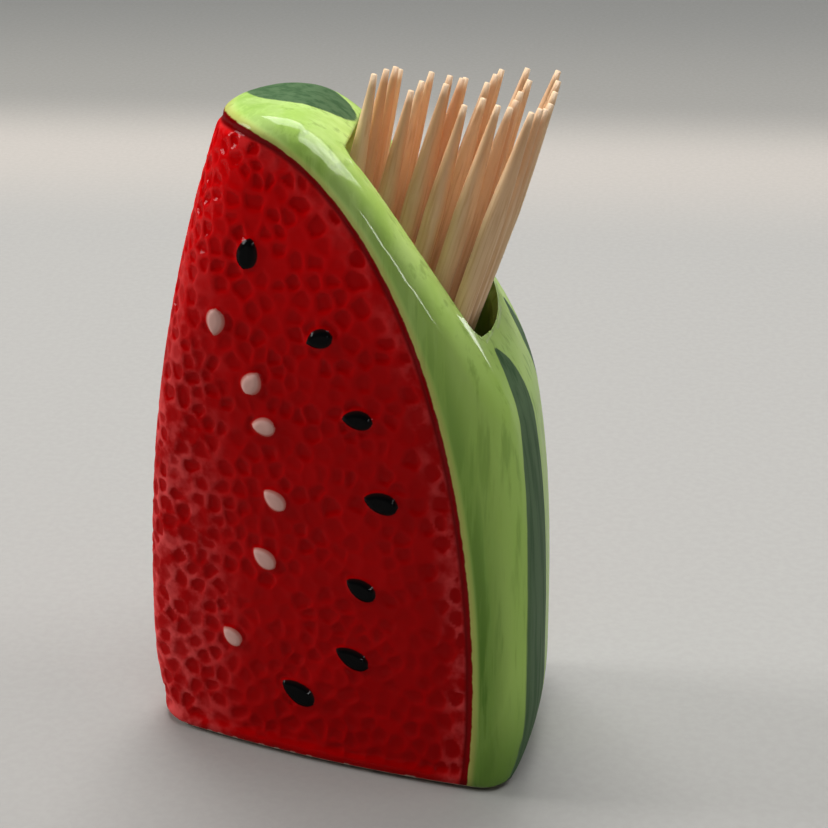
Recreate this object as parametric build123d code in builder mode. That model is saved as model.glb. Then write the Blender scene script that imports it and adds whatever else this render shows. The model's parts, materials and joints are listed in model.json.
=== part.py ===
"""Watermelon-wedge toothpick holder: a hollow glazed ceramic wedge with a scooped mouth, and toothpicks.

Millimetres. +Z is up, +X runs from the wedge's nose to its rind, +Y runs across the wedge.
The origin is the centre of the base.
"""

import os
from math import asin, cos, hypot, pi, radians, sin, sqrt, tan

from build123d import *

# Outer wedge
height = 74.0
depth = 46.2
rind_width = 32.6
rind_radius = 56.2
nose_radius = 4.5
face_radius = 150.0
rim_round = 3.0
foot_round = 1.5

# Side profile
belly_height = 10.4
rind_tuck = 2.0
nose_tuck = 1.6
nose_lean = 10.6
cap_reach = 16.0

# Mouth scooped out of the upper rind
scoop_radius = 80.0
scoop_top_reach = 25.4
scoop_top_drop = 2.0
lip_setback = 6.1
lip_drop = 22.5
lip_blend = 5.0
lip_round = 1.0
lip_neck = 8.0

# Flesh sunk into the faces inside the rind's edge, and the seeds raised on it
flesh_drop = 0.4
flesh_reach = 38.5
flesh_shoulder = 27.4
flesh_top_drop = 1.0
seed_length = 3.5
seed_width = 2.4
seed_tip = 0.8
seed_height = 0.45
seed_crown = 0.7

# Places of the front face's seeds: how far in from the nose, and how high
black_seeds = (
    ((14.1, 59.4), (21.8, 51.1), (25.8, 42.7), (28.3, 33.5))
    + ((26.0, 22.9), (24.9, 14.2), (18.5, 8.5))
)
white_seeds = (
    ((10.2, 51.2), (14.1, 45.0), (15.3, 40.2))
    + ((16.3, 31.8), (14.9, 24.5), (10.7, 13.8))
)

# Walls round the cavity
face_wall = 3.75
rind_wall = 4.5
lip_wall = 2.5
nose_wall = 9.0
cap_nose_wall = 4.4
cap_wall = 5.5
cap_overhang = 1.1
floor_thickness = 10.0
cavity_corner = 1.5

# Toothpicks and the fan in which they lean out of the mouth
pick_diameter = 2.1
pick_length = 68.0
pick_taper = 12.0
pick_tip_diameter = 0.6
length_scatter = 0.8
tip_scatter = 0.45
tip_twist = 2.6
pick_gap = 0.23
wall_gap = 0.35
cap_gap = 0.7
seat_gap = 0.25
cap_side_lean = 11.3
lip_side_lean = 20.5

# Places worked out from the sizes
nose_x = -(nose_tuck + depth - rind_tuck) / 2
belly_x = nose_x + depth
axis_x = belly_x - rind_radius
cap_x = nose_x + cap_reach
wedge_axis = Axis((axis_x, 0, 0), (0, 0, 1))
scoop_top = (nose_x + scoop_top_reach, height - scoop_top_drop)
scoop_lip = (belly_x - lip_setback, height - lip_drop)
cavity_top = height - cap_wall
cap_end_slope = tan(radians(cap_side_lean))
cap_end_x = scoop_top[0] - cap_overhang
cap_roof_end_x = cap_end_x - (scoop_top[1] - cavity_top) * cap_end_slope
overrun = height / 10
wedge_steps = 6


def face_centre():
    """Centre of the front face's arc, which touches the nose circle and meets the rind's corner."""
    nose = (nose_x + nose_radius, 0.0)
    corner = (belly_x, -rind_width / 2)
    inner_radius = face_radius - nose_radius
    gap = hypot(corner[0] - nose[0], corner[1] - nose[1])
    along = (inner_radius**2 - face_radius**2 + gap**2) / (2 * gap)
    aside = sqrt(inner_radius**2 - along**2)
    unit_x = (corner[0] - nose[0]) / gap
    unit_y = (corner[1] - nose[1]) / gap
    return (nose[0] + along * unit_x - aside * unit_y, nose[1] + along * unit_y + aside * unit_x)


face_x, face_y = face_centre()


def half_width(x, wall):
    """Half the wedge's width at x, inside faces of the given wall thickness."""
    return sqrt((face_radius - wall) ** 2 - (x - face_x) ** 2) - face_y


def nose_front(z):
    """Foremost point of the nose at height z: tucked in at the foot, leaning back towards the cap."""
    if z < belly_height:
        return nose_x + nose_tuck * ((belly_height - z) / belly_height) ** 2
    return nose_x + nose_lean * ((z - belly_height) / (height - belly_height)) ** 2.2


def rind_back(z):
    """Rearmost point of the rind at height z above the belly."""
    rise = (z - belly_height) / (height - belly_height)
    return cap_x + (belly_x - cap_x) * sqrt(1 - rise**3)


def wedge_outline(front, wall):
    """Plan outline with a rounded nose at x = front and bowed faces that run on past the rind."""
    arc_radius = face_radius - wall
    ahead = face_x - front
    nose = (ahead**2 + face_y**2 - arc_radius**2) / (2 * (ahead - arc_radius))
    nose_middle = front + nose
    reach = hypot(nose_middle - face_x, face_y)
    touch = (nose_middle + nose * (nose_middle - face_x) / reach, nose * face_y / reach)
    end_x = belly_x + overrun
    middle_x = (touch[0] + end_x) / 2
    middle = (middle_x, half_width(middle_x, wall))
    end = (end_x, half_width(end_x, wall))
    with BuildLine() as outline:
        ThreePointArc(touch, (front, 0), (touch[0], -touch[1]))
        ThreePointArc((touch[0], -touch[1]), (middle[0], -middle[1]), (end[0], -end[1]))
        Line((end[0], -end[1]), end)
        ThreePointArc(end, middle, touch)
    return outline.line


def scoop_centre():
    """Centre of the scoop's circle in the side view, out beyond the rind."""
    chord_x = scoop_lip[0] - scoop_top[0]
    chord_z = scoop_lip[1] - scoop_top[1]
    chord = hypot(chord_x, chord_z)
    away = sqrt(scoop_radius**2 - chord**2 / 4)
    middle = ((scoop_lip[0] + scoop_top[0]) / 2, (scoop_lip[1] + scoop_top[1]) / 2)
    return (middle[0] - away * chord_z / chord, middle[1] + away * chord_x / chord)


def wedge_block(drop):
    """Wedge drawn in by drop on its faces and nose, running on past its top, foot and rind."""
    with BuildPart() as block:
        for step in range(wedge_steps + 1):
            level = (height + 2 * overrun) * step / wedge_steps - overrun
            with BuildSketch(Plane.XY.offset(level)):
                add(wedge_outline(nose_front(level) + drop, drop))
                make_face()
        loft()
    return block.part


def seed_plane(reach, level, side):
    """Plane on the sunk flesh at a seed's place, its X towards the middle of the nose's edge."""
    x = nose_x + reach
    y = half_width(x, flesh_drop)
    out = Vector(x - face_x, side * (y + face_y), 0).normalized()
    along = Vector(-side * out.Y, side * out.X, 0) * reach + Vector(0, 0, height / 2 - level)
    return Plane(origin=(x, side * y, level), x_dir=along.normalized(), z_dir=out)


# Cavity: the wedge's plan drawn in by the walls, from the floor up through the mouth
lip_inside_x = rind_back(scoop_lip[1]) - lip_wall
cavity_low_front = nose_front(floor_thickness) + nose_wall
cavity_high_front = nose_front(cavity_top) + cap_nose_wall
front_slope = (cavity_high_front - cavity_low_front) / (cavity_top - floor_thickness)
open_top = height + overrun
cap_cut_top = open_top + overrun
with BuildPart() as cavity:
    for level in (floor_thickness, open_top):
        with BuildSketch(Plane.XY.offset(level)):
            add(wedge_outline(cavity_low_front + front_slope * (level - floor_thickness), face_wall))
            make_face()
    loft()
    with BuildSketch(Plane.XZ):
        with BuildLine():
            Polyline(
                (axis_x, floor_thickness),
                (belly_x - rind_wall, floor_thickness),
                (lip_inside_x, scoop_lip[1] - lip_neck),
                (lip_inside_x, open_top),
                (axis_x, open_top),
                close=True,
            )
        make_face()
    revolve(axis=wedge_axis, mode=Mode.INTERSECT)
    with BuildSketch(Plane.XZ):
        with BuildLine():
            Polyline(
                (axis_x, cavity_top),
                (cap_roof_end_x, cavity_top),
                (cap_end_x + (cap_cut_top - scoop_top[1]) * cap_end_slope, cap_cut_top),
                (axis_x, cap_cut_top),
                close=True,
            )
        make_face()
    extrude(amount=rind_width, both=True, mode=Mode.SUBTRACT)
    upright = [edge for edge in cavity.edges() if abs(edge.tangent_at(0.5).Z) > 0.9]
    fillet([edge for edge in upright if edge.center().X > cavity_high_front], cavity_corner)

# Flesh: what is cut from the faces and the nose, up to an elliptical edge beside the rind
shoulder = (nose_x + flesh_reach - flesh_shoulder, height - flesh_top_drop)
shoulder_rise = shoulder[1] - belly_height
with BuildPart() as flesh_cut:
    with BuildSketch(Plane.XZ):
        with BuildLine():
            EllipticalCenterArc((shoulder[0], belly_height), flesh_shoulder, shoulder_rise, arc_size=90)
            Polyline(
                shoulder,
                (nose_x - overrun, shoulder[1]),
                (nose_x - overrun, -overrun),
                (nose_x + flesh_reach, -overrun),
                (nose_x + flesh_reach, belly_height),
            )
        make_face()
    extrude(amount=rind_width, both=True)
    add(wedge_block(flesh_drop), mode=Mode.SUBTRACT)

# Seed: a teardrop that narrows to its crown; the back face has its seeds between the places of the front
with BuildPart() as seed:
    for lift, share in ((-flesh_drop, 1), (seed_height, seed_crown)):
        with BuildSketch(Plane.XY.offset(lift)):
            with Locations(((seed_width - seed_length) / 2, 0)):
                Circle(seed_width / 2 * share)
            with Locations(((seed_length - seed_tip) / 2, 0)):
                Circle(seed_tip / 2 * share)
            make_hull()
    loft()
seed_places = []
for row in (black_seeds, white_seeds):
    seed_places += [seed_plane(reach, level, -1) for reach, level in row]
    for first, second in zip(row, row[1:]):
        seed_places.append(seed_plane((first[0] + second[0]) / 2, (first[1] + second[1]) / 2, 1))

# Ceramic body: the wedge, trimmed by the rind turned about the wedge's axis, then scooped and hollowed
rind_steps = 7
with BuildPart() as ceramic_body:
    add(wedge_block(0))
    rind_points = []
    for step in range(rind_steps + 1):
        turn = pi / 2 * step / rind_steps
        rise = (height - belly_height) * sin(turn) ** (2 / 3)
        rind_points.append((cap_x + (belly_x - cap_x) * cos(turn), belly_height + rise))
    with BuildSketch(Plane.XZ):
        with BuildLine():
            TangentArc(rind_points[0], (belly_x - rind_tuck, 0), tangent=(0, -1))
            Spline(*rind_points, tangents=[(0, 1), (-1, 0)])
            Polyline(rind_points[-1], (axis_x, height), (axis_x, 0), (belly_x - rind_tuck, 0))
        make_face()
    revolve(axis=wedge_axis, mode=Mode.INTERSECT)
    with BuildSketch(Plane.XZ):
        with Locations(scoop_centre()):
            Circle(scoop_radius)
    extrude(amount=rind_width, both=True, mode=Mode.SUBTRACT)
    scoop = ceramic_body.faces().filter_by(GeomType.CYLINDER).sort_by(SortBy.AREA)[-1]
    fillet([edge for edge in scoop.edges() if abs(edge.center().Y) < rim_round], lip_blend)
    fillet(ceramic_body.edges().group_by(Axis.Y)[0].sort_by(SortBy.LENGTH)[-1], rim_round)
    fillet(ceramic_body.edges().group_by(Axis.Z)[0], foot_round)
    add(flesh_cut.part, mode=Mode.SUBTRACT)
    with Locations(*seed_places):
        add(seed.part)
    add(cavity.part, mode=Mode.SUBTRACT)
    lip_floor = scoop_lip[1] - lip_blend
    lip_edges = [edge for edge in edges(Select.NEW) if edge.vertices().sort_by(Axis.Z)[0].Z > lip_floor]
    fillet(lip_edges, lip_round)
ceramic_body.part.label = "ceramic_body"
os.makedirs("parts", exist_ok=True)
export_step(ceramic_body.part, "parts/ceramic_body.step")

# Fan of toothpicks: staggered rows on arcs about the wedge's axis, each pick leaning out along its own ray.
# A slight twist of the bundle brings the far picks of a row towards the rind, so none hides behind another.
pick_radius = pick_diameter / 2
tip_radius = pick_tip_diameter / 2
pick_pitch = pick_diameter + pick_gap
gather_z = floor_thickness + pick_taper
first_slope = cap_end_slope
last_slope = tan(radians(lip_side_lean))
first_top_x = cap_roof_end_x + pick_radius + cap_gap
last_top_x = lip_inside_x - pick_radius - wall_gap
first_reach = first_top_x - first_slope * (cavity_top - gather_z) - axis_x
last_reach = last_top_x - last_slope * (scoop_lip[1] - gather_z) - axis_x
row_count = int((last_reach - first_reach) / (pick_pitch * sqrt(3) / 2))
row_step = (last_reach - first_reach) / row_count
row_across = row_step * cos(radians(lip_side_lean))
row_pitch = max(pick_pitch, 2 * sqrt(max(pick_pitch**2 - row_across**2, 0)))
side_wall = face_wall + pick_radius + wall_gap
golden_turn = pi * (3 - sqrt(5))
scatter = tip_scatter / (height - gather_z)
twist = tip_twist / (height - gather_z)

fan = []
previous = 0
for row in range(row_count + 1):
    share = row / row_count
    reach = first_reach + share * (last_reach - first_reach)
    lean = first_slope + share * (last_slope - first_slope)
    wide = half_width(axis_x + reach, side_wall)
    room = half_width(axis_x + sqrt(reach**2 - wide**2), side_wall)
    count = int(2 * reach * asin(room / reach) / row_pitch) + 1
    if row > 0 and (count - previous) % 2 == 0:
        count -= 1
    previous = count
    for place in range(count):
        ray = (place - (count - 1) / 2) * row_pitch / reach
        turn = golden_turn * (len(fan) + 1)
        row_share = (place + 0.5) / count
        twisted = twist * (row_share - share)
        slope_x = lean * cos(ray) + twisted + scatter * cos(turn) * sin(pi * share)
        slope_y = lean * sin(ray) + scatter * sin(turn)
        length = pick_length + length_scatter * sin(3 * turn)
        fan.append((axis_x + reach * cos(ray), reach * sin(ray), slope_x, slope_y, length))

for number, (gather_x, gather_y, slope_x, slope_y, length) in enumerate(fan, start=1):
    rise = 1 / sqrt(1 + slope_x**2 + slope_y**2)
    direction = Vector(slope_x * rise, slope_y * rise, rise)
    seat_z = floor_thickness + seat_gap + tip_radius * sqrt(1 - rise**2)
    drop = gather_z - seat_z
    seat = Vector(gather_x - slope_x * drop, gather_y - slope_y * drop, seat_z)
    across = direction.cross(Vector(0, 1, 0)).normalized()
    with BuildPart() as toothpick:
        with BuildSketch(Plane(origin=seat, x_dir=across, z_dir=across.cross(direction))):
            with BuildLine():
                Polyline(
                    (0, 0),
                    (tip_radius, 0),
                    (pick_radius, pick_taper),
                    (pick_radius, length - pick_taper),
                    (tip_radius, length),
                    (0, length),
                    close=True,
                )
            make_face()
        revolve(axis=Axis(seat, direction))
    toothpick.part.label = f"toothpick_{number:02d}"
    export_step(toothpick.part, f"parts/toothpick_{number:02d}.step")
print(f"{len(fan)} toothpicks in {row_count + 1} rows")
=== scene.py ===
"""Watermelon-wedge toothpick holder: its glazed body, its loose toothpicks and a plain studio."""

import json
import logging
from dataclasses import dataclass, field
from enum import Enum
from itertools import product
from math import cos, hypot, pi, radians, sin, sqrt, tan
from typing import ClassVar

import bpy
import numpy as np
from mathutils import Color, Matrix, Vector, noise
from mathutils.kdtree import KDTree


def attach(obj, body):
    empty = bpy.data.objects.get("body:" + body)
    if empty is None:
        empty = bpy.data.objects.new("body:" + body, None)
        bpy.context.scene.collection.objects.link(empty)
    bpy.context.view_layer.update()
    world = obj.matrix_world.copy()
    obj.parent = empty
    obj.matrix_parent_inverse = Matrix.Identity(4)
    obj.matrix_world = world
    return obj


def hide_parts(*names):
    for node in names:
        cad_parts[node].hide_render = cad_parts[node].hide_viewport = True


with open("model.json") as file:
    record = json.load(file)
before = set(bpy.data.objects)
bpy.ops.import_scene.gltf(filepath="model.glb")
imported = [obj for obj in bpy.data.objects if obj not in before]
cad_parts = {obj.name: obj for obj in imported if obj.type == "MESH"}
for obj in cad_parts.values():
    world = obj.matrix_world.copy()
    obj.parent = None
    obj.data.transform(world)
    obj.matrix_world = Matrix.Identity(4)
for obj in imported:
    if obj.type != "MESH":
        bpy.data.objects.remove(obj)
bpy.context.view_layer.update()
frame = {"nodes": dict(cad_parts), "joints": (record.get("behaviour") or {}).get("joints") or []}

MM = 0.001
FAR_OFF = 9.0
MIX_INPUTS, MIX_OUTPUT = (0, 6, 7), 2
STREAK_INPUTS = ("Place", "Fineness", "Detail", "Start", "End")
Array = np.ndarray
Socket = bpy.types.NodeSocket
Colour = tuple[float, float, float, float]
Triple = tuple[float, float, float]
Span = tuple[float, float]
Spot = tuple[float, float]
logging.basicConfig(level=logging.INFO, format="%(message)s")
log = logging.getLogger("toothpick_holder")


def paint(red: int, green: int, blue: int) -> Colour:
    """Turns a colour as seen on a screen into the linear colour that a shader takes.

    Args:
        red: Red from 0 to 255.
        green: Green from 0 to 255.
        blue: Blue from 0 to 255.

    Returns:
        The linear colour with full alpha.
    """
    linear = Color((red / 255, green / 255, blue / 255)).from_srgb_to_scene_linear()
    return (linear.r, linear.g, linear.b, 1.0)


def soft_step(value: Array, low: float, high: float) -> Array:
    """Rises smoothly from 0 at low to 1 at high.

    Args:
        value: Values to grade.
        low: Value that gives 0.
        high: Value that gives 1.

    Returns:
        The graded values.
    """
    share = np.clip((value - low) / (high - low), 0, 1)
    return share * share * (3 - 2 * share)


def round_meet(first: Array, second: Array, radius: float) -> Array:
    """Meets two signed forms in a rounded outer edge.

    Args:
        first: Signed distances of the first form.
        second: Signed distances of the second form.
        radius: Radius of the rounded edge.

    Returns:
        Signed distances of what lies inside both forms.
    """
    over_first, over_second = np.maximum(first + radius, 0), np.maximum(second + radius, 0)
    return np.minimum(np.maximum(first, second), -radius) + np.hypot(over_first, over_second)


def meet_at(first: Spot, first_reach: float, second: Spot, second_reach: float) -> Spot:
    """Finds the place at given distances from two spots, on the left of the way between them.

    Args:
        first: First spot.
        first_reach: Distance from the first spot.
        second: Second spot.
        second_reach: Distance from the second spot.

    Returns:
        The place.
    """
    gap = hypot(second[0] - first[0], second[1] - first[1])
    along = (first_reach**2 - second_reach**2 + gap**2) / (2 * gap)
    aside = sqrt(first_reach**2 - along**2)
    way = ((second[0] - first[0]) / gap, (second[1] - first[1]) / gap)
    return (first[0] + along * way[0] - aside * way[1], first[1] + along * way[1] + aside * way[0])


def add_object(name: str, data: bpy.types.ID) -> bpy.types.Object:
    """Puts a new object into the scene.

    Args:
        name: Name of the object.
        data: Its mesh, lamp or camera.

    Returns:
        The new object.
    """
    piece = bpy.data.objects.new(name, data)
    bpy.context.scene.collection.objects.link(piece)
    return piece


def deselect_parts(kind: str) -> None:
    """Deselects all of the active mesh, and sets the kind of part that is selected from then on.

    Args:
        kind: FACE or EDGE.
    """
    bpy.ops.object.mode_set(mode="EDIT")
    bpy.ops.mesh.select_mode(type=kind)
    bpy.ops.mesh.select_all(action="DESELECT")
    bpy.ops.object.mode_set(mode="OBJECT")


def mesh_points(mesh: bpy.types.Mesh) -> Array:
    """Reads a mesh's points.

    Args:
        mesh: The mesh to read.

    Returns:
        One row per point, in millimetres.
    """
    flat = np.empty(len(mesh.vertices) * 3)
    mesh.vertices.foreach_get("co", flat)
    return flat.reshape(-1, 3) / MM


def move_points(mesh: bpy.types.Mesh, points: Array) -> None:
    """Moves a mesh's points.

    Args:
        mesh: The mesh to change.
        points: One row per point, in millimetres.
    """
    mesh.vertices.foreach_set("co", (points * MM).ravel())
    mesh.update()


def write_values(mesh: bpy.types.Mesh, name: str, values: Array) -> None:
    """Writes one number per point, for the shader to read.

    Args:
        mesh: The mesh that carries the numbers.
        name: Name of the attribute.
        values: One number per point.
    """
    layer = mesh.attributes.new(name, "FLOAT", "POINT")
    layer.data.foreach_set("value", values.astype(np.float32))


class NodeTable:
    """Adds the nodes of one material or group and joins them."""

    def __init__(self, tree: bpy.types.NodeTree) -> None:
        """Keeps the tree that the nodes go into."""
        self.tree = tree

    def add(self, kind: str, **settings: object) -> bpy.types.Node:
        """Adds a node.

        Args:
            kind: Blender's name of the node type.
            settings: Properties to set on the node.

        Returns:
            The new node.
        """
        node = self.tree.nodes.new(kind)
        for name, value in settings.items():
            setattr(node, name, value)
        return node

    def feed(self, socket: Socket, value: object) -> None:
        """Links a socket to another one, or sets it to a plain value.

        Args:
            socket: Input to feed.
            value: An output socket, a number or a colour.
        """
        if isinstance(value, Socket):
            self.tree.links.new(value, socket)
        else:
            socket.default_value = value

    def attribute(self, name: str, output: str = "Fac") -> Socket:
        """Reads an attribute of the mesh."""
        return self.add("ShaderNodeAttribute", attribute_name=name).outputs[output]

    def maths(self, operation: str, *values: object) -> Socket:
        """Works out one number from others.

        Args:
            operation: Blender's name of the operation.
            values: Sockets or numbers.

        Returns:
            The result's socket.
        """
        node = self.add("ShaderNodeMath", operation=operation)
        for socket, value in zip(node.inputs, values):
            self.feed(socket, value)
        return node.outputs[0]

    def times(self, *values: object) -> Socket:
        """Multiplies sockets and numbers in turn.

        Args:
            values: Sockets or numbers.

        Returns:
            The product's socket.
        """
        result = values[0]
        for value in values[1:]:
            result = self.maths("MULTIPLY", result, value)
        return result

    def parts(self, place: Socket) -> bpy.types.NodeOutputs:
        """Splits coordinates into X, Y and Z.

        Args:
            place: Coordinates to split.

        Returns:
            The three sockets by name.
        """
        node = self.add("ShaderNodeSeparateXYZ")
        self.feed(node.inputs[0], place)
        return node.outputs

    def bump(self, height: object, strength: float, distance: float) -> Socket:
        """Turns a height into a bumped normal.

        Args:
            height: Height of the surface.
            strength: Strength of the bump.
            distance: How far a height of 1 stands out, in metres.

        Returns:
            The normal's socket.
        """
        node = self.add("ShaderNodeBump")
        for name, value in (("Strength", strength), ("Distance", distance), ("Height", height)):
            self.feed(node.inputs[name], value)
        return node.outputs["Normal"]

    def grade(self, value: object, low: float, high: float, start: float = 0, end: float = 1) -> Socket:
        """Grades a value smoothly from start at low to end at high.

        Args:
            value: Socket to grade.
            low: Value that gives start.
            high: Value that gives end.
            start: First result.
            end: Last result.

        Returns:
            The graded value's socket.
        """
        node = self.add("ShaderNodeMapRange", interpolation_type="SMOOTHSTEP")
        for socket, given in zip(node.inputs, (value, low, high, start, end)):
            self.feed(socket, given)
        return node.outputs[0]

    def mix(self, share: object, first: object, second: object) -> Socket:
        """Mixes two colours.

        Args:
            share: Share of the second colour.
            first: First colour or socket.
            second: Second colour or socket.

        Returns:
            The mixed colour's socket.
        """
        node = self.add("ShaderNodeMix", data_type="RGBA")
        for number, value in zip(MIX_INPUTS, (share, first, second)):
            self.feed(node.inputs[number], value)
        return node.outputs[MIX_OUTPUT]

    def streaks(
        self,
        place: Socket,
        fineness: float | Triple,
        span: Span = (0.35, 0.65),
        detail: float = 3,
    ) -> tuple[Socket, Socket]:
        """Places the shared group of uneven streaks.

        Args:
            place: Coordinates on the piece.
            fineness: Number of streaks per unit along every axis, or along each.
            span: Values of the pattern that give no streak and a full one.
            detail: Number of finer layers.

        Returns:
            The sockets of the streaks' share and of their plain height.
        """
        if not isinstance(fineness, tuple):
            fineness = (fineness,) * 3
        node = self.add("ShaderNodeGroup", node_tree=streak_group())
        for name, value in zip(STREAK_INPUTS, (place, fineness, detail, *span)):
            self.feed(node.inputs[name], value)
        return node.outputs["Streak"], node.outputs["Height"]


def streak_group() -> bpy.types.NodeTree:
    """Builds the group of uneven streaks that glaze, wood and paper share, or finds it again.

    Returns:
        The node group.
    """
    name = "uneven_streaks"
    if name in bpy.data.node_groups:
        return bpy.data.node_groups[name]
    group = bpy.data.node_groups.new(name, "ShaderNodeTree")
    for socket in STREAK_INPUTS:
        kind = "NodeSocketVector" if socket in ("Place", "Fineness") else "NodeSocketFloat"
        group.interface.new_socket(socket, in_out="INPUT", socket_type=kind)
    for socket in ("Streak", "Height"):
        group.interface.new_socket(socket, in_out="OUTPUT", socket_type="NodeSocketFloat")
    table = NodeTable(group)
    given = table.add("NodeGroupInput").outputs
    result = table.add("NodeGroupOutput").inputs
    stretch = table.add("ShaderNodeVectorMath", operation="MULTIPLY")
    table.feed(stretch.inputs[0], given["Place"])
    table.feed(stretch.inputs[1], given["Fineness"])
    cloud = table.add("ShaderNodeTexNoise")
    table.feed(cloud.inputs["Vector"], stretch.outputs[0])
    table.feed(cloud.inputs["Scale"], 1.0)
    table.feed(cloud.inputs["Detail"], given["Detail"])
    table.feed(cloud.inputs["Roughness"], 0.58)
    table.feed(result["Streak"], table.grade(cloud.outputs["Fac"], given["Start"], given["End"]))
    table.feed(result["Height"], cloud.outputs["Fac"])
    return group


def new_material(name: str) -> tuple[bpy.types.Material, NodeTable, bpy.types.Node]:
    """Starts a material.

    Args:
        name: Name of the material.

    Returns:
        The material, its table of nodes and its shader.
    """
    material = bpy.data.materials.new(name)
    material.use_nodes = True
    return material, NodeTable(material.node_tree), material.node_tree.nodes["Principled BSDF"]


class Seed(Enum):
    """The two kinds of painted seed."""

    BLACK = "black_seed"
    WHITE = "white_seed"


@dataclass(frozen=True)
class SeedMark:
    """One raised teardrop seed on a face: its middle, the way that it points, and its size."""

    x: float
    z: float
    point: float
    length: float
    width: float
    point_power: ClassVar[float] = 0.7
    fullest: ClassVar[float] = 0.443

    def distance(self, x: Array, z: Array) -> Array:
        """Signed distance from the teardrop's edge.

        Args:
            x: Places along the face.
            z: Heights.

        Returns:
            Distances in millimetres, negative inside.
        """
        turn = radians(self.point)
        along = (x - self.x) * cos(turn) + (z - self.z) * sin(turn)
        across = np.abs((z - self.z) * cos(turn) - (x - self.x) * sin(turn))
        share = np.clip(along / self.length + 0.5, 0, 1)
        fullness = np.sqrt(share) * (1 - share) ** self.point_power / self.fullest
        beyond = np.maximum(np.abs(along) - self.length / 2, 0)
        beside = across - self.width / 2 * fullness
        return np.hypot(np.maximum(beside, 0), beyond) + np.minimum(beside, 0)


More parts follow.
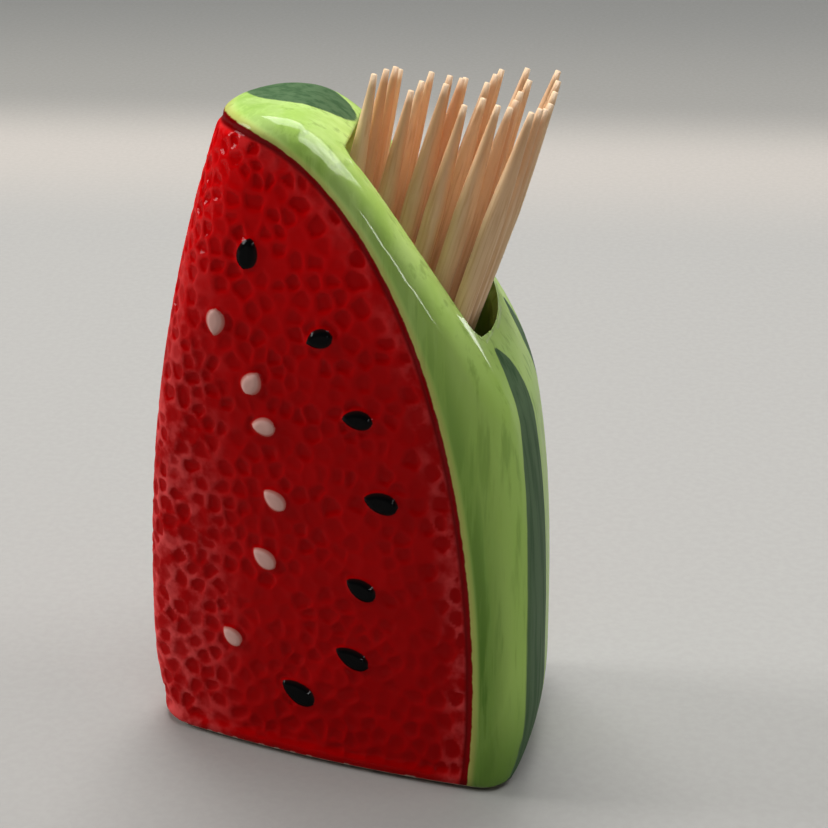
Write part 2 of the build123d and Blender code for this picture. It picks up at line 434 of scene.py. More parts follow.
@dataclass(frozen=True)
class WedgeForm:
    """The hollow wedge as a signed form in millimetres, negative in the clay."""

    height: float = 74.0
    depth: float = 46.2
    rind_width: float = 32.6
    rind_radius: float = 56.2
    nose_radius: float = 4.5
    face_radius: float = 150.0
    rim_round: float = 3.0
    foot_round: float = 1.5
    belly_height: float = 10.4
    rind_tuck: float = 2.0
    nose_tuck: float = 1.6
    nose_lean: float = 10.6
    cap_reach: float = 16.0
    scoop_radius: float = 80.0
    scoop_top_reach: float = 25.4
    scoop_top_drop: float = 2.0
    lip_setback: float = 6.1
    lip_drop: float = 22.5
    lip_blend: float = 5.0
    lip_round: float = 1.0
    face_wall: float = 3.75
    lip_wall: float = 2.5
    cap_wall: float = 5.5
    cap_overhang: float = 1.1
    cap_side_lean: float = 11.3
    nose_power: float = 2.2
    cap_power: int = 3
    least_slope: float = 0.001
    settle_depth: float = 1.5
    settle_reach: float = 0.6
    settle_steps: int = 4

    @property
    def nose_x(self) -> float:
        """Foremost place of the nose."""
        return -(self.nose_tuck + self.depth - self.rind_tuck) / 2

    @property
    def belly_x(self) -> float:
        """Rearmost place of the rind."""
        return self.nose_x + self.depth

    @property
    def axis_x(self) -> float:
        """Place of the upright axis that the rind is turned about."""
        return self.belly_x - self.rind_radius

    @property
    def cap_x(self) -> float:
        """Place where the rind runs level into the cap."""
        return self.nose_x + self.cap_reach

    @property
    def scoop_top(self) -> Spot:
        """Upper end of the scooped mouth in the side view."""
        return (self.nose_x + self.scoop_top_reach, self.height - self.scoop_top_drop)

    @property
    def scoop_lip(self) -> Spot:
        """Lower end of the scooped mouth in the side view."""
        return (self.belly_x - self.lip_setback, self.height - self.lip_drop)

    @property
    def scoop_centre(self) -> Spot:
        """Middle of the scoop's circle in the side view."""
        return meet_at(self.scoop_top, self.scoop_radius, self.scoop_lip, self.scoop_radius)

    @property
    def face_centre(self) -> Spot:
        """Middle of the circle that bows a face, in the plan."""
        nose, corner = (self.nose_x + self.nose_radius, 0.0), (self.belly_x, -self.rind_width / 2)
        return meet_at(nose, self.face_radius - self.nose_radius, corner, self.face_radius)

    def nose_front(self, z: Array) -> Array:
        """Finds the front of the nose.

        Args:
            z: Heights.

        Returns:
            Foremost place of the nose at each height.
        """
        low = np.clip((self.belly_height - z) / self.belly_height, 0, None)
        high = np.clip((z - self.belly_height) / (self.height - self.belly_height), 0, None)
        return self.nose_x + self.nose_tuck * low**2 + self.nose_lean * high**self.nose_power

    def rind_back(self, z: float) -> float:
        """Finds the back of the rind.

        Args:
            z: A height above the belly.

        Returns:
            Rearmost place of the rind at that height.
        """
        rise = (z - self.belly_height) / (self.height - self.belly_height)
        return self.cap_x + (self.belly_x - self.cap_x) * sqrt(1 - rise**self.cap_power)

    def rind(self, points: Array) -> Array:
        """Signed distance from the turned rind.

        Args:
            points: One row per point.

        Returns:
            Distances, negative inside.
        """
        reach = np.hypot(points[:, 0] - self.axis_x, points[:, 1]) + self.axis_x
        wide, tall = self.belly_x - self.cap_x, self.height - self.belly_height
        out = np.maximum(reach - self.cap_x, 0) / wide
        up = np.maximum(points[:, 2] - self.belly_height, 0) / tall
        slope = np.hypot(2 * out / wide, self.cap_power * up ** (self.cap_power - 1) / tall)
        high = (out**2 + up**self.cap_power - 1) / np.maximum(slope, self.least_slope)
        bend = (self.belly_height**2 + self.rind_tuck**2) / (2 * self.rind_tuck)
        below = np.minimum(points[:, 2] - self.belly_height, 0)
        low = np.hypot(reach - (self.belly_x - bend), below) - bend
        return np.where(points[:, 2] > self.belly_height, high, low)

    def sides(self, points: Array, front: Array, wall: float) -> Array:
        """Signed distance from the bowed faces and the rounded nose between them.

        Args:
            points: One row per point.
            front: Foremost place of the nose for each point.
            wall: How far the faces are drawn in.

        Returns:
            Distances, negative inside.
        """
        face_x, face_y = self.face_centre
        bow = self.face_radius - wall
        x, y = points[:, 0], np.abs(points[:, 1])
        face = np.hypot(x - face_x, y + face_y) - bow
        ahead = face_x - front
        nose = (ahead**2 + face_y**2 - bow**2) / (2 * (ahead - bow))
        middle = front + nose
        reach = np.hypot(middle - face_x, face_y)
        touch_x, touch_y = nose * (middle - face_x) / reach, nose * face_y / reach
        return np.where((x - middle) * touch_y < y * touch_x, np.hypot(x - middle, y) - nose, face)

    def outside(self, points: Array) -> Array:
        """Signed distance from the outer skin with its rounded rim, lip and foot.

        Args:
            points: One row per point.

        Returns:
            Distances, negative inside.
        """
        scoop_x, scoop_z = self.scoop_centre
        scoop = self.scoop_radius - np.hypot(points[:, 0] - scoop_x, points[:, 2] - scoop_z)
        back = round_meet(self.rind(points), scoop, self.lip_blend)
        skin = round_meet(back, self.sides(points, self.nose_front(points[:, 2]), 0), self.rim_round)
        return round_meet(skin, -points[:, 2], self.foot_round)

    def hollow(self, points: Array) -> Array:
        """Signed distance from the upper part of the cavity, near the mouth.

        Args:
            points: One row per point.

        Returns:
            Distances, negative in the cavity.
        """
        faces = self.sides(points, np.full(len(points), self.nose_x), self.face_wall)
        reach = np.hypot(points[:, 0] - self.axis_x, points[:, 1]) + self.axis_x
        lip = reach - (self.rind_back(self.scoop_lip[1]) - self.lip_wall)
        lean = radians(self.cap_side_lean)
        cap_end = self.scoop_top[0] - self.cap_overhang + (points[:, 2] - self.scoop_top[1]) * tan(lean)
        cap = np.maximum(self.height - self.cap_wall - points[:, 2], (points[:, 0] - cap_end) * cos(lean))
        return np.maximum(np.maximum(faces, lip), -cap)

    def shell(self, points: Array) -> Array:
        """Signed distance from the clay's surface near the outer skin and the mouth.

        Args:
            points: One row per point.

        Returns:
            Distances, negative in the clay.
        """
        return round_meet(self.outside(points), -self.hollow(points), self.lip_round)

    def slope(self, points: Array) -> Array:
        """Finds the outward direction of the surface.

        Args:
            points: One row per point.

        Returns:
            One unit direction per point.
        """
        small, least = 0.02, 1e-6
        ways = []
        for axis in range(3):
            step = np.zeros(3)
            step[axis] = small
            ways.append((self.shell(points + step) - self.shell(points - step)) / (2 * small))
        ways = np.stack(ways, axis=1)
        return ways / np.maximum(np.linalg.norm(ways, axis=1, keepdims=True), least)

    def settle(self, points: Array) -> Array:
        """Draws points that lie near the outer skin onto it.

        Args:
            points: One row per point.

        Returns:
            The points after the move.
        """
        near = self.outside(points) > -self.settle_depth
        moved = points.copy()
        for _ in range(self.settle_steps):
            spot = moved[near]
            reach = np.clip(self.shell(spot), -self.settle_reach, self.settle_reach)
            moved[near] = spot - self.slope(spot) * reach[:, None]
        return moved


@dataclass(frozen=True)
class FleshDrawing:
    """What is painted and pressed on the wedge: the flesh, the seeds, the stripes and the cap's patch."""

    form: WedgeForm
    flesh_x: float = -11.8
    flesh_reach: float = 27.4
    flesh_top: float = 73.0
    flesh_tuck: float = 0.6
    flesh_power: float = 2.1
    least_slope: float = 0.02
    stripe_top: float = 49.8
    stripe_front: float = 12.0
    stripe_outer: float = 14.0
    outer_draw: float = 5.2
    outer_limit: float = 1.1
    stripe_inner: float = 5.0
    inner_draw: float = 3.0
    inner_limit: float = 1.2
    tip_start: float = 44.0
    tip_length: float = 5.7
    patch_middle: float = 3.5
    patch_half: float = 5.6
    patch_start: float = -10.2
    patch_end: float = 1.4
    patch_drop: float = 6.0
    black: tuple[SeedMark, ...] = (
        SeedMark(-8.8, 59.4, 75, 3.5, 2.3),
        SeedMark(-1.1, 51.1, 205, 3.0, 2.1),
        SeedMark(2.9, 42.65, 180, 3.3, 2.2),
        SeedMark(5.4, 33.5, 170, 3.8, 2.5),
        SeedMark(3.1, 22.9, 150, 3.6, 2.4),
        SeedMark(2.0, 14.2, 155, 4.0, 2.4),
        SeedMark(-4.4, 8.5, 150, 4.2, 2.7),
    )
    white: tuple[SeedMark, ...] = (
        SeedMark(-12.75, 51.2, 265, 3.0, 2.1),
        SeedMark(-8.8, 45.0, 60, 2.8, 2.2),
        SeedMark(-7.6, 40.2, 180, 2.7, 2.1),
        SeedMark(-6.6, 31.8, 140, 2.9, 2.1),
        SeedMark(-8.0, 24.5, 140, 3.0, 2.2),
        SeedMark(-12.2, 13.8, 135, 2.6, 2.0),
    )

    def flesh(self, points: Array) -> Array:
        """Signed distance from the line between flesh and rind, negative on the flesh.

        Args:
            points: One row per point.

        Returns:
            Distances in millimetres.
        """
        tall = self.flesh_top - self.form.belly_height
        low = np.clip(1 - points[:, 2] / self.form.belly_height, 0, None)
        x = points[:, 0] + self.flesh_tuck * low**2
        out = np.maximum(x - self.flesh_x, 0) / self.flesh_reach
        up = np.maximum(points[:, 2] - self.form.belly_height, 0) / tall
        steepness = self.flesh_power * up ** (self.flesh_power - 1) / tall
        slope = np.hypot(2 * out / self.flesh_reach, steepness)
        return (out**2 + up**self.flesh_power - 1) / np.maximum(slope, self.least_slope)

    def seeds(self, points: Array, kind: Seed) -> Array:
        """Signed distance from the nearest seed of one kind.

        Args:
            points: One row per point.
            kind: Which seeds to measure.

        Returns:
            Distances in millimetres, negative on a seed.
        """
        marks = self.black if kind is Seed.BLACK else self.white
        between = [
            SeedMark((one.x + two.x) / 2, (one.z + two.z) / 2, two.point, one.length, one.width)
            for one, two in zip(marks, marks[1:])
        ]
        x, z = points[:, 0], points[:, 2]
        nearest = [np.min([mark.distance(x, z) for mark in side], axis=0) for side in (marks, between)]
        return np.minimum(np.where(points[:, 1] < 0, *nearest), FAR_OFF)

    def stripes(self, points: Array) -> Array:
        """Signed distance from the dark stripes of the rind and the dark patch of the cap.

        Args:
            points: One row per point.

        Returns:
            Distances in millimetres, negative on the dark glaze.
        """
        x, y, z = points[:, 0], points[:, 1], points[:, 2]
        rise = np.clip(z / self.stripe_top, 0, self.outer_limit)
        outer = self.stripe_outer - self.outer_draw * rise**5
        near_tip = np.clip((z - self.tip_start) / self.tip_length, 0, self.inner_limit)
        inner = self.stripe_inner + self.inner_draw * near_tip**3
        stripe = np.maximum(np.maximum(np.abs(y) - outer, inner - np.abs(y)), z - self.stripe_top)
        stripe = np.maximum(stripe, self.stripe_front - x)
        end = np.maximum(x - (self.patch_end - self.patch_half), 0)
        start = np.maximum(self.patch_start + self.patch_half - x, 0)
        patch = np.hypot(end + start, y - self.patch_middle) - self.patch_half
        patch = np.maximum(patch, self.form.height - self.patch_drop - z)
        return np.minimum(stripe, patch)


@dataclass(frozen=True)
class GlazeFinish:
    """Clear glossy glaze over red, green, black and white underglaze, and bare clay at the foot.

    A span says where a change of tone starts and where it is full.
    """

    # Darker red: random patches, and painted shade in the pressed pits.
    red_patch_and_pit_shade: Colour = paint(166, 0, 2)
    red_ground: Colour = paint(182, 0, 3)
    # Brighter red: painted light on the upper flesh.
    red_lit_top: Colour = paint(206, 2, 6)
    # Pale pinkish red: a painted sheen that stands for reflections on the ridges between the pits.
    red_sheen: Colour = paint(222, 76, 76)
    red_line: Colour = paint(112, 2, 4)
    green: Colour = paint(186, 222, 112)
    # Darker green: painted shade low on the rind.
    green_shaded_low: Colour = paint(164, 200, 94)
    # Brush green: real brush marks, and painted shade at the foot.
    green_brush_and_foot_shade: Colour = paint(86, 128, 36)
    green_light: Colour = paint(208, 238, 142)
    green_edge: Colour = paint(176, 172, 92)
    dark_green: Colour = paint(66, 94, 62)
    dark_green_light: Colour = paint(86, 112, 78)
    black: Colour = paint(10, 11, 12)
    black_edge: Colour = paint(34, 14, 14)
    white: Colour = paint(220, 172, 162)
    white_edge: Colour = paint(196, 116, 106)
    clay: Colour = paint(226, 216, 200)
    clay_dark: Colour = paint(196, 184, 166)
    grit_fineness: float = 1500
    ripple_fineness: float = 260
    edge_fineness: float = 700
    patch_fineness: float = 190
    sheen_fineness: float = 420
    brush_fineness: Triple = (800, 800, 60)
    broad_fineness: Triple = (240, 240, 45)
    edge_span: Span = (0.08, -0.08)
    edge_wobble: float = 0.35
    line_span: Span = (-1.15, -0.65)
    pit_span: Span = (0.85, 0.35)
    # Where the painted sheen lies: at the nose, beside the flesh's edge and towards the foot.
    sheen_nose: Span = (-0.009, -0.020)
    sheen_edge: Span = (-4.5, -1.4)
    sheen_foot: Span = (0.056, 0.024)
    # Heights over which the painted light brightens the upper flesh.
    lit_upper_flesh: Span = (0.040, 0.066)
    shaded_lower_rind: Span = (0.068, 0.042)
    brush_inner: Span = (0.3, 1.0)
    brush_outer: Span = (4.2, 1.2)
    # Heights over which painted shade strengthens the brushing and darkens the foot.
    brush_and_shade_low: Span = (0.062, 0.006)
    shaded_foot: Span = (0.016, 0.001)
    hair_span: Span = (0.3, 0.48)
    warm_span: Span = (0.9, 0.15)
    stripe_span: Span = (0.2, -0.16)
    stripe_waver: float = 0.6
    seed_span: Span = (0.1, -0.06)
    seed_rim: Span = (-0.4, -0.05)
    roughness: Span = (0.2, 0.3)
    coat_span: Span = (-0.1, 0.5)
    coat: Span = (0.12, 0.42)
    stripe_coat: float = 0.25

    def material(self) -> bpy.types.Material:
        """Builds the glaze.

        Returns:
            The material.
        """
        material, table, shader = new_material("watermelon_glaze")
        place = table.add("ShaderNodeTexCoord").outputs["Object"]
        flesh, bare = table.attribute("flesh"), table.attribute("bare")
        fleck, grit = table.streaks(place, self.grit_fineness, (0.4, 0.7), 4)
        wobble = table.streaks(place, self.edge_fineness, detail=2)[1]
        shift = table.times(table.maths("SUBTRACT", wobble, 0.5), self.edge_wobble)
        share = table.grade(table.maths("ADD", flesh, shift), *self.edge_span)
        skin = table.mix(share, self.rind(table, flesh, place), self.flesh(table, flesh, place))
        skin = self.seeds(table, skin)
        skin = table.mix(bare, skin, table.mix(fleck, self.clay, self.clay_dark))
        table.feed(shader.inputs["Base Color"], skin)
        gloss = table.grade(grit, 0.3, 0.7, *self.roughness)
        table.feed(shader.inputs["Roughness"], table.maths("ADD", gloss, table.times(bare, 0.5)))
        coat = table.grade(flesh, *self.coat_span, *self.coat)
        on_stripe = table.grade(table.attribute("stripe"), -0.2, 0.2, self.stripe_coat, 1)
        glazed = table.grade(bare, 0, 1, 1, 0)
        table.feed(shader.inputs["Coat Weight"], table.times(coat, on_stripe, glazed))
        shader.inputs["Coat Roughness"].default_value = 0.09
        shader.inputs["Coat IOR"].default_value = 1.5
        shader.inputs["Specular IOR Level"].default_value = 0.0
        ripple = table.streaks(place, self.ripple_fineness, detail=1)[1]
        height = table.maths("ADD", ripple, table.times(grit, bare, 0.5))
        table.feed(shader.inputs["Normal"], table.bump(height, strength=0.15, distance=0.0003))
        return material

    def flesh(self, table: NodeTable, flesh: Socket, place: Socket) -> Socket:
        """Paints the red flesh: painted shade darkens the pits, a painted pinkish sheen lies on the
        ground between them near the nose, the edge and the foot, painted light brightens the upper flesh,
        and the line along the edge is darkest.

        Args:
            table: The material's nodes.
            flesh: Distance from the edge of the flesh.
            place: Coordinates on the body.

        Returns:
            The colour of the flesh.
        """
        ground, parts = table.attribute("ground"), table.parts(place)
        # Painted reflection: a pinkish sheen on the ridges between the pits, near the nose, beside the
        # edge and towards the foot.
        nose = table.grade(parts["X"], *self.sheen_nose)
        sheen_rims = table.maths("MAXIMUM", nose, table.grade(flesh, *self.sheen_edge, 0, 0.7))
        patchy = table.streaks(place, self.patch_fineness, (0.3, 0.7))[0]
        sheen_streaks = table.streaks(place, self.sheen_fineness, (0.36, 0.66))[0]
        # Painted light: the upper flesh is painted brighter red, as if lit from above.
        upper = table.grade(parts["Z"], *self.lit_upper_flesh)
        tone = table.mix(patchy, self.red_ground, self.red_patch_and_pit_shade)
        tone = table.mix(upper, tone, self.red_lit_top)
        # The painted sheen goes on the ridges here, with more of it towards the foot.
        lower = table.grade(parts["Z"], *self.sheen_foot, 0.5, 1)
        tone = table.mix(table.times(sheen_streaks, sheen_rims, ground, lower), tone, self.red_sheen)
        # Painted shade: the pits are painted darker red; on the upper flesh the painted light lifts them
        # to the ground's red.
        pit = table.mix(upper, self.red_patch_and_pit_shade, self.red_ground)
        tone = table.mix(table.grade(ground, *self.pit_span), tone, pit)
        return table.mix(table.grade(flesh, *self.line_span), tone, self.red_line)

    def rind(self, table: NodeTable, flesh: Socket, place: Socket) -> Socket:
        """Paints the green rind: brushed darker beside the flesh, with dark stripes, and with painted
        shade that darkens it towards the foot.

        Args:
            table: The material's nodes.
            flesh: Distance from the edge of the flesh.
            place: Coordinates on the body.

        Returns:
            The colour of the rind.
        """
        brush, hair = table.streaks(place, self.brush_fineness, (0.34, 0.6), 4)
        broad = table.streaks(place, self.broad_fineness)[0]
        height = table.parts(place)["Z"]
        beside = table.times(table.grade(flesh, *self.brush_outer), table.grade(flesh, *self.brush_inner))
        # Painted shade: the brushing beside the flesh grows stronger lower down, and the foot is painted
        # darker green.
        lower = table.grade(height, *self.brush_and_shade_low, 0.45, 1)
        brushed = table.times(beside, lower, table.grade(brush, 0, 1, 0.6, 1))
        brushed = table.maths("MAXIMUM", brushed, table.grade(height, *self.shaded_foot, 0, 0.8))
        tone = table.mix(broad, self.green, self.green_light)
        # Painted shade: darker green towards the foot.
        tone = table.mix(table.grade(height, *self.shaded_lower_rind, 0, 0.85), tone, self.green_shaded_low)
        tone = table.mix(table.grade(hair, *self.hair_span, 0.35, 0), tone, self.green_brush_and_foot_shade)
        tone = table.mix(brushed, tone, self.green_brush_and_foot_shade)
        tone = table.mix(table.grade(flesh, *self.warm_span, 0, 0.8), tone, self.green_edge)
        waver = table.times(table.maths("SUBTRACT", hair, 0.5), self.stripe_waver)
        stripe = table.maths("ADD", table.attribute("stripe"), waver)
        dark = table.mix(brush, self.dark_green, self.dark_green_light)
        return table.mix(table.grade(stripe, *self.stripe_span), tone, dark)

    def seeds(self, table: NodeTable, skin: Socket) -> Socket:
        """Paints the black and the white seeds.

        Args:
            table: The material's nodes.
            skin: The colour under the seeds.

        Returns:
            The colour with the seeds on it.
        """
        tones = {Seed.BLACK: (self.black, self.black_edge), Seed.WHITE: (self.white, self.white_edge)}
        for kind, (middle, rim) in tones.items():
            distance = table.attribute(kind.value)
            tone = table.mix(table.grade(distance, *self.seed_rim), middle, rim)
            skin = table.mix(table.grade(distance, *self.seed_span), skin, tone)
        return skin


@dataclass
class CeramicBody:
    """The slip-cast wedge: one closed skin with pitted flesh, a groove, raised seeds and painted stripes.

    A span says over which distances a form rises to its full height.
    """

    form: WedgeForm = field(default_factory=WedgeForm)
    finish: GlazeFinish = field(default_factory=GlazeFinish)
    merge_gap: float = 0.001
    voxel: float = 0.64
    skin_span: Span = (-0.9, -0.3)
    foot_span: Span = (1.0, 2.6)
    divide_past: float = 1.0
    divide_depth: float = 0.5
    divide_above: float = 0.3
    flesh_drop: float = 0.4
    flesh_span: Span = (0.0, 0.8)
    line_depth: float = 0.16
    line_width: float = 0.55
    line_middle: float = 0.6
    seed_height: float = 0.42
    seed_span: Span = (-0.15, 0.55)
    seed_clear: Span = (-0.5, 0.0)
    pit_depth: float = 0.24
    pit_span: Span = (0.8, 1.3)
    pit_past: float = 0.4
    pit_spacing: Span = (1.1, 2.2)
    pit_bend: float = 0.35
    bend_fineness: float = 0.8
    pit_rise: Span = (0.36, 0.82)
    pit_strength: Span = (0.1, 1.0)
    strength_power: float = 0.7
    pit_chance: int = 11
    bare_inside: Span = (3.5, 9.0)
    bare_wall: float = 0.8
    bare_foot: Span = (-0.55, -0.3)

    def build(self) -> bpy.types.Object:
        """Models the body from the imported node.

        Returns:
            The finished object.
        """
        drawing = FleshDrawing(self.form)
        piece = add_object("ceramic_glazed", frame["nodes"]["ceramic_body"].data.copy())
        bpy.ops.object.select_all(action="DESELECT")
        piece.select_set(True)
        bpy.context.view_layer.objects.active = piece
        bpy.ops.object.mode_set(mode="EDIT")
        bpy.ops.mesh.select_all(action="SELECT")
        bpy.ops.mesh.remove_doubles(threshold=self.merge_gap * MM)
        bpy.ops.object.mode_set(mode="OBJECT")
        remesh = piece.modifiers.new("even_skin", "REMESH")
        remesh.mode = "VOXEL"
        remesh.voxel_size = self.voxel * MM
        bpy.ops.object.modifier_apply(modifier=remesh.name)
        move_points(piece.data, self.form.settle(mesh_points(piece.data)))
        self.divide_flesh(piece, drawing)
        points = self.form.settle(mesh_points(piece.data))
        move_points(piece.data, points + self.press(points, drawing, piece.data))
        piece.data.materials.clear()
        piece.data.materials.append(self.finish.material())
        piece.data.shade_smooth()
        return piece

    def divide_flesh(self, piece: bpy.types.Object, drawing: FleshDrawing) -> None:
        """Divides the faces of the flesh once, for the pits and the seeds.

        Args:
            piece: The body's object.
            drawing: Where the flesh is.
        """
        mesh = piece.data
        points = mesh_points(mesh)
        on_flesh = drawing.flesh(points) < self.divide_past
        on_flesh &= (self.form.outside(points) > -self.divide_depth) & (points[:, 2] > self.divide_above)
        loops = np.empty(len(mesh.loops), dtype=np.int32)
        mesh.loops.foreach_get("vertex_index", loops)
        starts = np.empty(len(mesh.polygons), dtype=np.int32)
        mesh.polygons.foreach_get("loop_start", starts)
        chosen = np.logical_and.reduceat(on_flesh[loops], starts)
        deselect_parts("FACE")
        mesh.polygons.foreach_set("select", chosen)
        bpy.ops.object.mode_set(mode="EDIT")
        bpy.ops.mesh.subdivide(number_cuts=1)
        bpy.ops.object.mode_set(mode="OBJECT")

    def press(self, points: Array, drawing: FleshDrawing, mesh: bpy.types.Mesh) -> Array:
        """Works out the relief, and writes the values that the glaze reads.

        Args:
            points: One row per point of the body.
            drawing: What is painted and pressed.
            mesh: The body's mesh.

        Returns:
            How each point moves.
        """
        outside, flesh = self.form.outside(points), drawing.flesh(points)
        skin = soft_step(outside, *self.skin_span)
        on_skin = skin > 0.5
        seeds = {kind.value: drawing.seeds(points, kind) for kind in Seed}
        from_seed = np.minimum(*seeds.values())
        ground = self.ground(points, (flesh < self.pit_past) & on_skin)
        face = skin * soft_step(points[:, 2], *self.foot_span)
        pits = (1 - ground) * soft_step(-flesh, *self.pit_span) * face
        line = np.exp(-(((flesh + self.line_middle) / self.line_width) ** 2)) * face
        relief = -self.flesh_drop * soft_step(-flesh, *self.flesh_span) * face
        relief -= self.pit_depth * pits * (1 - soft_step(-from_seed, *self.seed_clear))
        relief -= self.line_depth * line
        relief += self.seed_height * soft_step(-from_seed, *self.seed_span) * skin
        inside = soft_step(-outside, *self.bare_inside) * (self.form.hollow(points) < self.bare_wall)
        write_values(mesh, "flesh", np.where(skin > 0, flesh, FAR_OFF))
        write_values(mesh, "ground", 1 - pits)
        write_values(mesh, "bare", np.maximum(inside, soft_step(-points[:, 2], *self.bare_foot)))
        for name, distance in ({"stripe": drawing.stripes(points)} | seeds).items():
            write_values(mesh, name, np.where(on_skin, distance, FAR_OFF))
        return self.form.slope(points) * relief[:, None]

    def ground(self, points: Array, chosen: Array) -> Array:
        """Scatters pressed pits over the flesh and grades them up to the soft ridges between them.

        Args:
            points: One row per point of the body.
            chosen: Which points are on the flesh.

        Returns:
            Near 0 in the middle of a deep pit to 1 on a ridge, for each point.
        """
        order = np.flatnonzero(chosen)
        noise.seed_set(self.pit_chance)
        bends = [noise.noise_vector(Vector(point) * self.bend_fineness) for point in points[order]]
        bent = points.copy()
        bent[order] += self.pit_bend * np.array(bends)
        chance = np.random.default_rng(self.pit_chance)
        chance.shuffle(order)
        middles = self.scatter(bent, order, chance)
        tree = KDTree(len(middles))
        for number, index in enumerate(middles):
            tree.insert(bent[index], number)
        tree.balance()
        strength = chance.uniform(*self.pit_strength, len(middles)) ** self.strength_power
        ground = np.ones(len(points))
        for index in order:
            (_, nearest, first), (_, _, second) = tree.find_n(bent[index], 2)
            rise = soft_step(first / second, *self.pit_rise)
            ground[index] = 1 - (1 - rise) * strength[nearest]
        return ground

    def scatter(self, points: Array, order: Array, chance: np.random.Generator) -> list[int]:
        """Picks the pits' middles, each at its own least distance from the others.

        Args:
            points: One row per point of the body.
            order: Points to try, in turn.
            chance: Source of the distances.

        Returns:
            The points that are middles of pits.
        """
        cell = self.pit_spacing[1]
        apart = dict(zip(order, chance.uniform(*self.pit_spacing, len(order))))
        middles: list[int] = []
        cells: dict[tuple[int, int, int], list[int]] = {}
        for index in order:
            spot = points[index]
            key = tuple(int(value // cell) for value in spot)
            near = [
                other
                for i, j, k in product((-1, 0, 1), repeat=3)
                for other in cells.get((key[0] + i, key[1] + j, key[2] + k), ())
            ]
            gaps = (hypot(*(points[other] - spot)) - max(apart[index], apart[other]) for other in near)
            if all(gap > 0 for gap in gaps):
                middles.append(index)
                cells.setdefault(key, []).append(index)
        return middles


@dataclass(frozen=True)
class WoodFinish:
    """Pale birch with fine grain along the pick, warmer towards the ends, and paler cut tips."""

    wood: Colour = paint(243, 209, 163)
    grain: Colour = paint(216, 172, 122)
    pale: Colour = paint(246, 216, 176)
    warm: Colour = paint(214, 152, 98)
    fibre_fineness: Triple = (3.2, 3.2, 0.10)
    band_fineness: Triple = (0.9, 0.9, 0.03)

    def material(self) -> bpy.types.Material:
        """Builds the wood.

        Returns:
            The material.
        """
        material, table, shader = new_material("toothpick_wood")
        place = table.attribute("grain", "Vector")
        streak, fibre = table.streaks(place, self.fibre_fineness, (0.44, 0.7), 4)
        band = table.streaks(place, self.band_fineness, (0.5, 0.72))[0]
        tone = table.mix(streak, self.wood, self.grain)
        tone = table.mix(table.times(band, 0.6), tone, self.pale)
        tone = table.mix(table.attribute("warmth"), tone, self.warm)
        tone = table.mix(table.attribute("tip"), tone, self.pale)
        table.feed(shader.inputs["Base Color"], tone)
        table.feed(shader.inputs["Roughness"], table.grade(fibre, 0.3, 0.7, 0.5, 0.66))
        table.feed(shader.inputs["Normal"], table.bump(fibre, strength=0.35, distance=0.00012))
        return material


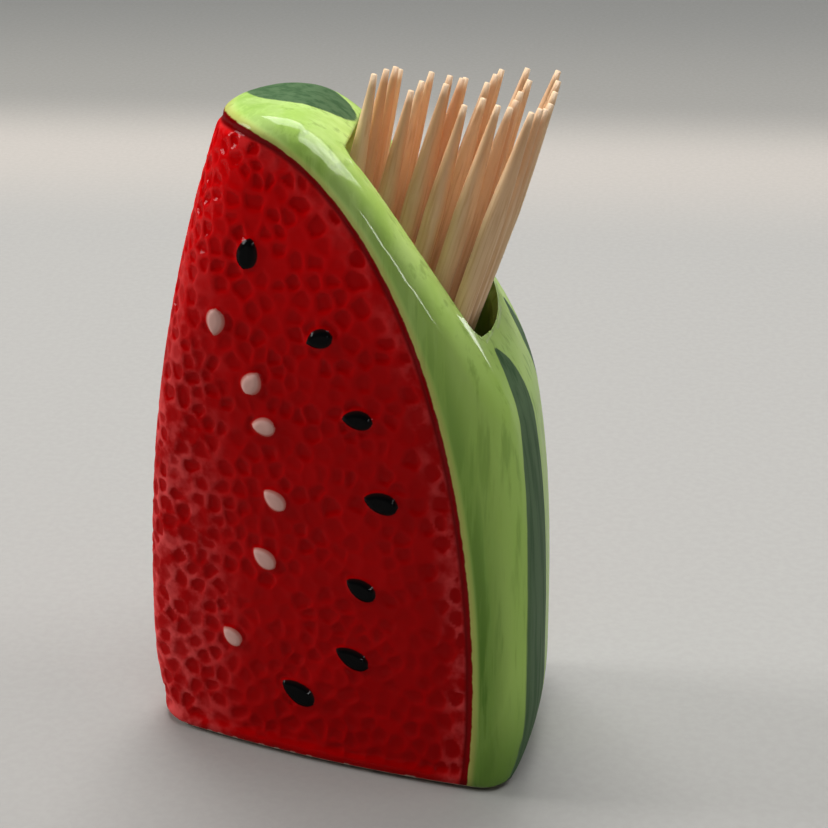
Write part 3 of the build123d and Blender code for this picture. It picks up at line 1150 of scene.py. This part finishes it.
@dataclass
class Toothpicks:
    """The loose round toothpicks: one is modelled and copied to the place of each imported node."""

    length: float = 68.0
    diameter: float = 2.1
    tip_diameter: float = 0.62
    taper: float = 12.0
    sides: int = 16
    taper_steps: int = 9
    taper_crowd: float = 1.25
    cone_share: float = 0.72
    shy: float = 0.02
    seat_depth: float = 0.01
    grain_shift: float = 90.0
    tip_span: Span = (0.1, 1.6)
    tip_pale: float = 0.6
    warm_span: Span = (4.0, 20.0)
    warmth: Span = (0.3, 0.9)
    pick_chance: int = 5
    finish: WoodFinish = field(default_factory=WoodFinish)

    def pattern(self) -> bpy.types.Object:
        """Models one toothpick along the upright axis by extruding and resizing a ring.

        Returns:
            The pattern object.
        """
        bpy.ops.object.select_all(action="DESELECT")
        end = self.radius(0) * MM
        bpy.ops.mesh.primitive_circle_add(vertices=self.sides, radius=end, fill_type="NGON")
        piece = bpy.context.active_object
        shares = [sin(pi / 2 * step / self.taper_steps) for step in range(1, self.taper_steps + 1)]
        heights = [self.taper * share**self.taper_crowd for share in shares]
        heights += [self.length - height for height in reversed(heights)] + [self.length]
        bpy.ops.object.mode_set(mode="EDIT")
        bpy.ops.mesh.select_all(action="SELECT")
        before = 0.0
        for height in heights:
            lift = (height - before) * MM
            bpy.ops.mesh.extrude_region_move(TRANSFORM_OT_translate={"value": (0, 0, lift)})
            wider = self.radius(height) / self.radius(before)
            bpy.ops.transform.resize(value=(wider, wider, 1), center_override=(0, 0, height * MM))
            before = height
        bpy.ops.mesh.select_all(action="SELECT")
        bpy.ops.mesh.normals_make_consistent(inside=False)
        bpy.ops.object.mode_set(mode="OBJECT")
        return piece

    def radius(self, height: float) -> float:
        """Finds how thick the pick is.

        Args:
            height: Height above its lower tip, in millimetres.

        Returns:
            Its radius there, in millimetres.
        """
        share = min(1.0, min(height, self.length - height) / self.taper)
        fullness = self.cone_share * share + (1 - self.cone_share) * sin(pi / 2 * share)
        return self.tip_diameter / 2 + (self.diameter - self.tip_diameter) / 2 * fullness

    def build(self) -> list[bpy.types.Object]:
        """Copies the pattern to the place of each packed toothpick.

        Returns:
            The finished toothpicks.
        """
        pattern = self.pattern()
        local = mesh_points(pattern.data)
        material = self.finish.material()
        chance = np.random.default_rng(self.pick_chance)
        pieces = []
        for joint in frame["joints"]:
            name = joint["child"]
            node = mesh_points(frame["nodes"][name].data)
            way = Vector(joint["axis"]).normalized()
            along = node @ np.array(way)
            seat = node[along < along.min() + self.seat_depth].mean(axis=0)
            span = along.max() - along.min() - self.shy
            mesh = pattern.data.copy()
            piece = add_object(f"{name}_wood", mesh)
            stretched = local.copy()
            stretched[:, 2] += np.where(local[:, 2] > self.length / 2, span - self.length, 0)
            spin = Matrix.Rotation(chance.uniform(0, 2 * pi), 3, "Z")
            turn = way.to_track_quat("Z", "Y").to_matrix() @ spin
            move_points(mesh, stretched @ np.array(turn).T + seat)
            layer = mesh.attributes.new("grain", "FLOAT_VECTOR", "POINT")
            shifted = stretched + chance.uniform(-self.grain_shift, self.grain_shift, 3)
            layer.data.foreach_set("vector", shifted.astype(np.float32).ravel())
            ends = np.minimum(stretched[:, 2], span - stretched[:, 2])
            write_values(mesh, "tip", self.tip_pale * (1 - soft_step(ends, *self.tip_span)))
            warmth = chance.uniform(*self.warmth)
            write_values(mesh, "warmth", warmth * (1 - soft_step(ends, *self.warm_span)))
            mesh.materials.append(material)
            mesh.shade_smooth()
            pieces.append(piece)
        bpy.data.objects.remove(pattern)
        return pieces


@dataclass(frozen=True)
class Lamp:
    """One soft oblong lamp: its place, panel and power, and whether it only shows in the gloss."""

    name: str
    place: Triple
    panel: Span
    power: float
    gloss_only: bool = False

    def hang(self, aim: Vector) -> None:
        """Hangs the lamp.

        Args:
            aim: Where it points.
        """
        light = bpy.data.lights.new(self.name, "AREA")
        light.shape, light.energy = "RECTANGLE", self.power
        light.size, light.size_y = self.panel
        piece = add_object(self.name, light)
        piece.location = self.place
        piece.rotation_euler = (aim - Vector(self.place)).to_track_quat("-Z", "Y").to_euler()
        piece.visible_diffuse = not self.gloss_only


@dataclass
class Studio:
    """Pale sweep, soft lamps and the camera, in metres."""

    sweep_side: float = 1.6
    sweep_near: float = -1.2
    sweep_back: float = 0.75
    sweep_round: float = 0.10
    sweep_rise: float = 1.0
    sweep_steps: int = 14
    # Floor tones: painted shade in front, the plain pale floor, a painted band of light, and painted
    # shade further back.
    near_floor_shade: Colour = paint(147, 145, 141)
    floor_pale: Colour = paint(159, 157, 153)
    floor_lit_band: Colour = paint(174, 168, 161)
    far_grey_shade_and_fibre: Colour = paint(134, 132, 127)
    far_dark_shade: Colour = paint(117, 117, 114)
    paper_fineness: float = 900
    room: Colour = paint(214, 212, 208)
    room_light: float = 0.1
    aim: Triple = (0, 0, 0.04)
    lamps: tuple[Lamp, ...] = (
        Lamp("overhead_lamp", (-0.06, 0.30, 0.76), (0.45, 0.45), 6.2),
        Lamp("left_lamp", (-0.80, 0.10, 0.36), (0.30, 0.30), 4.8),
        Lamp("right_lamp", (0.42, -0.06, 0.78), (0.25, 0.25), 1.4),
        Lamp("front_lamp", (0.10, -0.34, 0.86), (0.30, 0.30), 1.5),
        Lamp("ridge_panel", (0.28, -0.14, 0.80), (1.20, 0.60), 22.0, gloss_only=True),
        Lamp("rim_strip", (0.48, 0.80, 0.20), (0.30, 0.24), 1.6, gloss_only=True),
        Lamp("front_strip", (0.08, -1.12, 0.22), (0.10, 0.16), 1.2, gloss_only=True),
    )
    lens: float = 86.71
    film: float = 36.0
    camera_place: Triple = (0.026657, -0.203058, 0.122006)
    camera_way: Triple = (-0.085346, 0.921748, -0.378281)

    def sweep(self) -> bpy.types.Object:
        """Models the floor and backdrop as one plane whose far edge is turned up.

        Returns:
            The sweep.
        """
        bpy.ops.object.select_all(action="DESELECT")
        bpy.ops.mesh.primitive_plane_add(size=1)
        piece = bpy.context.active_object
        piece.name = "studio_sweep"
        for vertex in piece.data.vertices:
            away = self.sweep_near if vertex.co.y < 0 else self.sweep_back
            vertex.co = (self.sweep_side * np.sign(vertex.co.x), away, 0)
        deselect_parts("EDGE")
        for edge in piece.data.edges:
            edge.select = all(piece.data.vertices[v].co.y > 0 for v in edge.vertices)
        bpy.ops.object.mode_set(mode="EDIT")
        before = 0.0
        for step in range(1, self.sweep_steps + 1):
            turn = pi / 2 * step / self.sweep_steps
            out, up = sin(turn) - sin(before), cos(before) - cos(turn)
            move = (0, self.sweep_round * out, self.sweep_round * up)
            bpy.ops.mesh.extrude_region_move(TRANSFORM_OT_translate={"value": move})
            before = turn
        bpy.ops.mesh.extrude_region_move(TRANSFORM_OT_translate={"value": (0, 0, self.sweep_rise)})
        bpy.ops.object.mode_set(mode="OBJECT")
        piece.data.shade_smooth()
        piece.data.materials.append(self.paper())
        return piece

    def paper(self) -> bpy.types.Material:
        """Builds the sweep's matt paper, with painted light and shade graded across the floor.

        Returns:
            The material.
        """
        material, table, shader = new_material("studio_paper")
        place = table.add("ShaderNodeTexCoord").outputs["Object"]
        away = table.parts(place)["Y"]
        # Painted light and shade: a painted shadow in front, a painted band of light further back, then
        # painted shade into the distance.
        colour = self.near_floor_shade
        for start, full, tone in (
            (-0.07, 0.03, self.floor_pale),
            (0.185, 0.25, self.floor_lit_band),
            (0.255, 0.315, self.far_grey_shade_and_fibre),
            (0.30, 0.45, self.far_dark_shade),
        ):
            colour = table.mix(table.grade(away, start, full), colour, tone)
        fibre, tooth = table.streaks(place, self.paper_fineness)
        # The paper's grey fibre flecks use the same grey as the far painted shade.
        colour = table.mix(table.times(fibre, 0.06), colour, self.far_grey_shade_and_fibre)
        table.feed(shader.inputs["Base Color"], colour)
        table.feed(shader.inputs["Roughness"], table.grade(tooth, 0.3, 0.7, 0.65, 0.8))
        return material

    def light(self) -> None:
        """Hangs the lamps and sets the even light of the room."""
        for lamp in self.lamps:
            lamp.hang(Vector(self.aim))
        world = bpy.data.worlds.new("studio_room")
        world.use_nodes = True
        room = world.node_tree.nodes["Background"]
        room.inputs["Color"].default_value = self.room
        room.inputs["Strength"].default_value = self.room_light
        bpy.context.scene.world = world

    def camera(self) -> None:
        """Places the camera at the photograph's viewing angle."""
        lens = bpy.data.cameras.new("photo_camera")
        lens.lens, lens.sensor_width, lens.sensor_fit = self.lens, self.film, "HORIZONTAL"
        lens.clip_start = 0.01
        piece = add_object("photo_camera", lens)
        piece.location = self.camera_place
        piece.rotation_euler = Vector(self.camera_way).to_track_quat("-Z", "Y").to_euler()
        bpy.context.scene.camera = piece


def main() -> None:
    """Builds the studio, the body and the toothpicks in order."""
    studio = Studio()
    studio.sweep()
    studio.light()
    studio.camera()
    bpy.context.scene.view_settings.view_transform = "Standard"
    body = CeramicBody().build()
    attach(body, "holder")
    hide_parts("ceramic_body")
    log.info("%s: %d faces", body.name, len(body.data.polygons))
    for piece in Toothpicks().build():
        name = piece.name.removesuffix("_wood")
        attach(piece, name)
        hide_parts(name)
        log.info("%s: %d faces", piece.name, len(piece.data.polygons))


if __name__ == "__main__":
    main()
